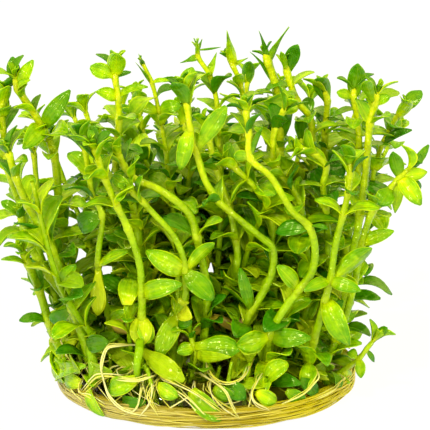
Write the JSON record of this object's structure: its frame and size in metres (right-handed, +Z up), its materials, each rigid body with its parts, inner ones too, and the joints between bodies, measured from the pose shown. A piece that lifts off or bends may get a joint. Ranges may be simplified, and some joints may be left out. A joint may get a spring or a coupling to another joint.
{
  "type": "lemon bacopa in its gel puck",
  "caption": "Dense tuft of upright leafy water-plant shoots growing from a round puck of clear gel with its roots wound round the rim; stands on its flat underside.",
  "frame": {"origin": "middle of the puck's flat underside", "axes": "+Z up along the shoots, -Y towards the side that the picture shows, +X to the right in the picture"},
  "size_m": [0.0934, 0.086, 0.0779],
  "materials": {
    "wound_roots": "wet golden roots wound side by side",
    "clear_gel": "clear wet gel with a faint yellow cast",
    "old_roots": "dark brown old roots and dead leaves",
    "leaf_green": "fresh wet green, yellower at the stems and leaf edges"
  },
  "bodies": {
    "root": {"root_mat": "wound_roots", "gel": "clear_gel", "old_growth": "old_roots", "shoot_01": "leaf_green", "shoot_02": "leaf_green", "shoot_03": "leaf_green", "shoot_04": "leaf_green", "shoot_05": "leaf_green", "shoot_06": "leaf_green", "shoot_07": "leaf_green", "shoot_08": "leaf_green", "shoot_09": "leaf_green", "shoot_10": "leaf_green", "shoot_11": "leaf_green", "shoot_12": "leaf_green", "shoot_13": "leaf_green", "shoot_14": "leaf_green", "shoot_15": "leaf_green", "shoot_16": "leaf_green", "shoot_17": "leaf_green", "shoot_18": "leaf_green", "shoot_19": "leaf_green", "shoot_20": "leaf_green", "shoot_21": "leaf_green", "shoot_22": "leaf_green", "shoot_23": "leaf_green", "shoot_24": "leaf_green", "shoot_25": "leaf_green", "shoot_26": "leaf_green", "shoot_27": "leaf_green", "shoot_28": "leaf_green", "shoot_29": "leaf_green", "shoot_30": "leaf_green", "shoot_31": "leaf_green", "shoot_32": "leaf_green", "shoot_33": "leaf_green", "shoot_34": "leaf_green", "shoot_35": "leaf_green", "shoot_36": "leaf_green", "shoot_37": "leaf_green", "shoot_38": "leaf_green", "shoot_39": "leaf_green", "shoot_40": "leaf_green", "shoot_41": "leaf_green", "shoot_42": "leaf_green", "shoot_43": "leaf_green", "shoot_44": "leaf_green", "shoot_45": "leaf_green", "shoot_46": "leaf_green"}
  },
  "joints": []
}
